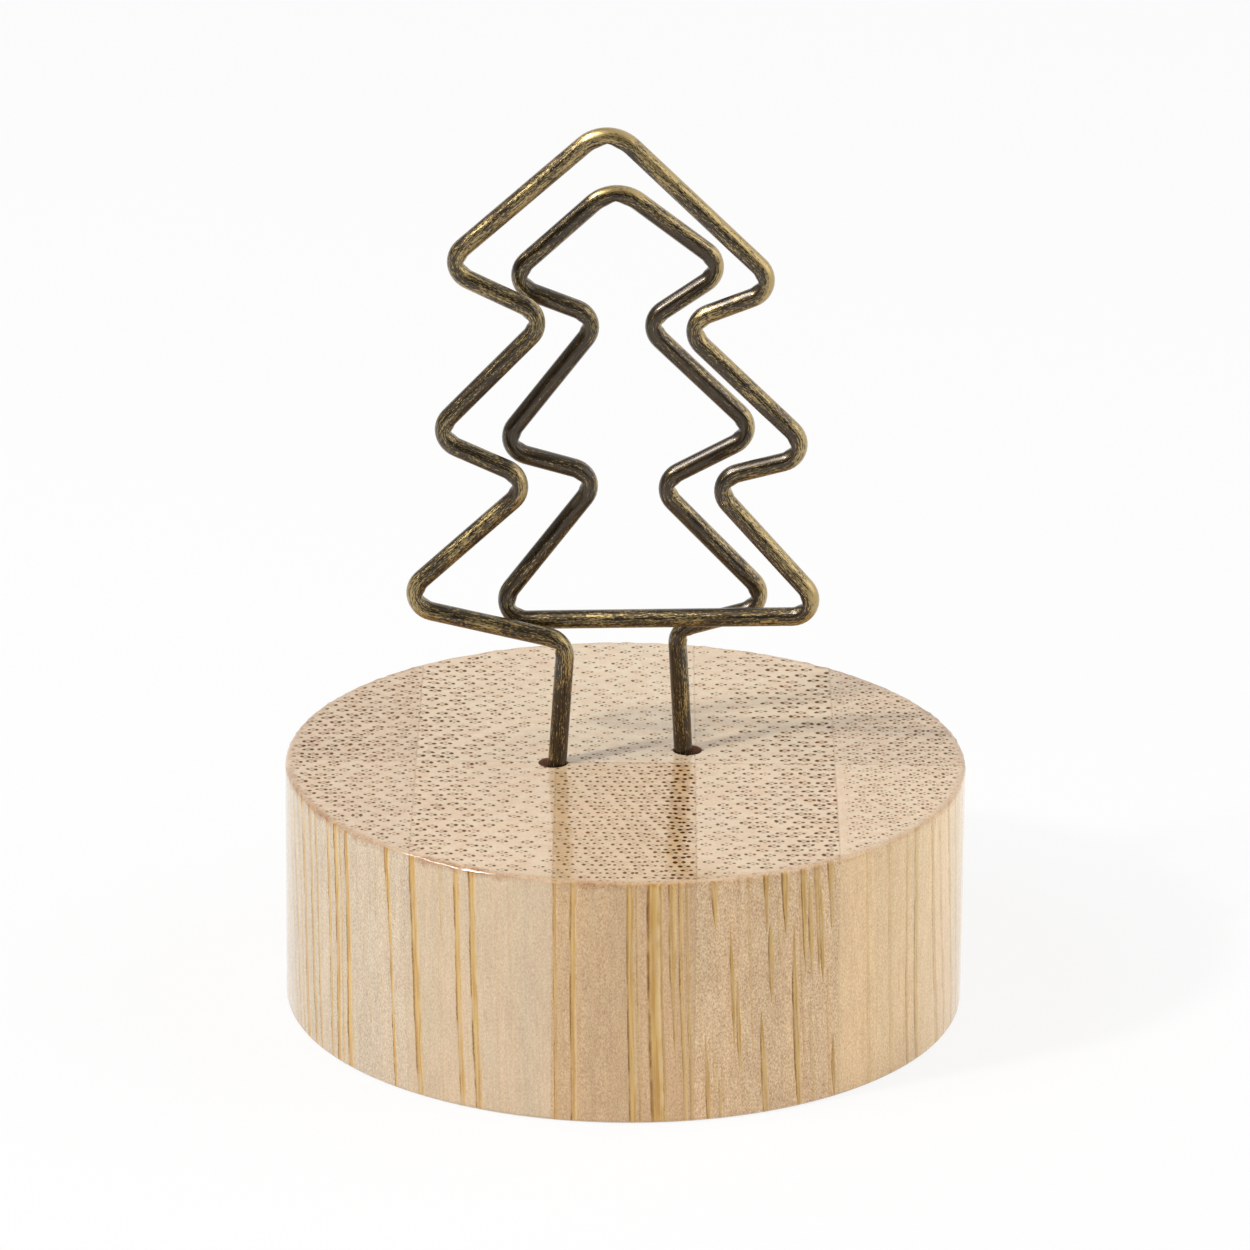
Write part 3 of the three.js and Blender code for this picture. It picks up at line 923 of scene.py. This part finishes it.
world = bpy.data.worlds.new("studio")
bpy.context.scene.world = world
world.use_nodes = True
tree = world.node_tree
tree.nodes.clear()
light_path = add_node(tree, "LightPath")
direction = add_node(tree, "TexCoord")
direction = add_node(tree, "SeparateXYZ", [direction.outputs["Generated"]])
# What highlights reflect: a room that darkens to the left and behind the camera, and a white backdrop
sides = remap(tree, direction.outputs["X"], (-0.5, 0.4), (0.3, 1), soft=True)
room = remap(tree, direction.outputs["Y"], (-0.7, 0), (0.15, 1), soft=True)
backdrop = remap(tree, direction.outputs["Y"], (0.6, 0.9), soft=True)
reflected = maths(tree, "MULTIPLY", sides, room)
reflected = maths(tree, "MAXIMUM", reflected, backdrop)
strength = add_node(
    tree,
    "Mix",
    {"Factor": light_path.outputs["Is Glossy Ray"], "A": ROOM_LIGHT, "B": reflected},
    data_type="FLOAT",
)
seen = maths(tree, "MAXIMUM", light_path.outputs["Is Camera Ray"], light_path.outputs["Is Transmission Ray"])
strength = add_node(tree, "Mix", {"Factor": seen, "A": strength, "B": 1.0}, data_type="FLOAT")
background = add_node(tree, "Background", {"Color": (1, 1, 1, 1), "Strength": strength})
add_node(tree, "OutputWorld", {"Surface": background})

# Lamps: name, place in metres, width and height in metres, power in watts, and whether they light
# surfaces or draw highlights. Each is turned to the tree's foot.
LAMPS = (
    ("key", (-0.44, -0.265, 0.412), 0.06, 0.06, 1.9, "both"),
    ("softbox", (-0.35, -0.12, 0.50), 0.30, 0.30, 0.9, "both"),
    ("strip light", (-0.35, -0.08, 0.49), 0.45, 0.10, 2.0, "highlights"),
    ("right wall", (0.62, 0.02, 0.28), 1.00, 1.00, 3.0, "surfaces"),
    ("right reflector", (0.53, -0.24, 0.34), 0.55, 0.55, 1.15, "highlights"),
)
for name, place, width, height, power, gives in LAMPS:
    aim = (Vector((0, 0, base_height)) - Vector(place)).to_track_quat("-Z", "Y")
    bpy.ops.object.light_add(type="AREA", location=place, rotation=aim.to_euler())
    lamp = bpy.context.object
    lamp.name = name
    lamp.data.shape = "ELLIPSE"
    lamp.data.size = width
    lamp.data.size_y = height
    lamp.data.energy = power
    lamp.visible_diffuse = gives != "highlights"
    lamp.visible_glossy = gives != "surfaces"

CAMERA_RISE = math.radians(19.92)
CAMERA_DISTANCE = 0.47
CAMERA_ROLL = math.radians(0.507)
CAMERA_AIM = Vector((-0.0001, 0, 0.0231))
CAMERA_LENS = 231.4  # millimetres, as is the sensor's width
CAMERA_SENSOR = 36
CAMERA_NEAREST = 0.01
away = Vector((0, -math.cos(CAMERA_RISE), math.sin(CAMERA_RISE)))
bpy.ops.object.camera_add(location=CAMERA_AIM + away * CAMERA_DISTANCE)
camera = bpy.context.object
camera.rotation_euler = (
    Matrix.Rotation(math.pi / 2 - CAMERA_RISE, 3, "X") @ Matrix.Rotation(CAMERA_ROLL, 3, "Z")
).to_euler()
camera.data.lens = CAMERA_LENS
camera.data.sensor_width = CAMERA_SENSOR
camera.data.clip_start = CAMERA_NEAREST
bpy.context.scene.camera = camera
bpy.context.scene.view_settings.view_transform = "Standard"
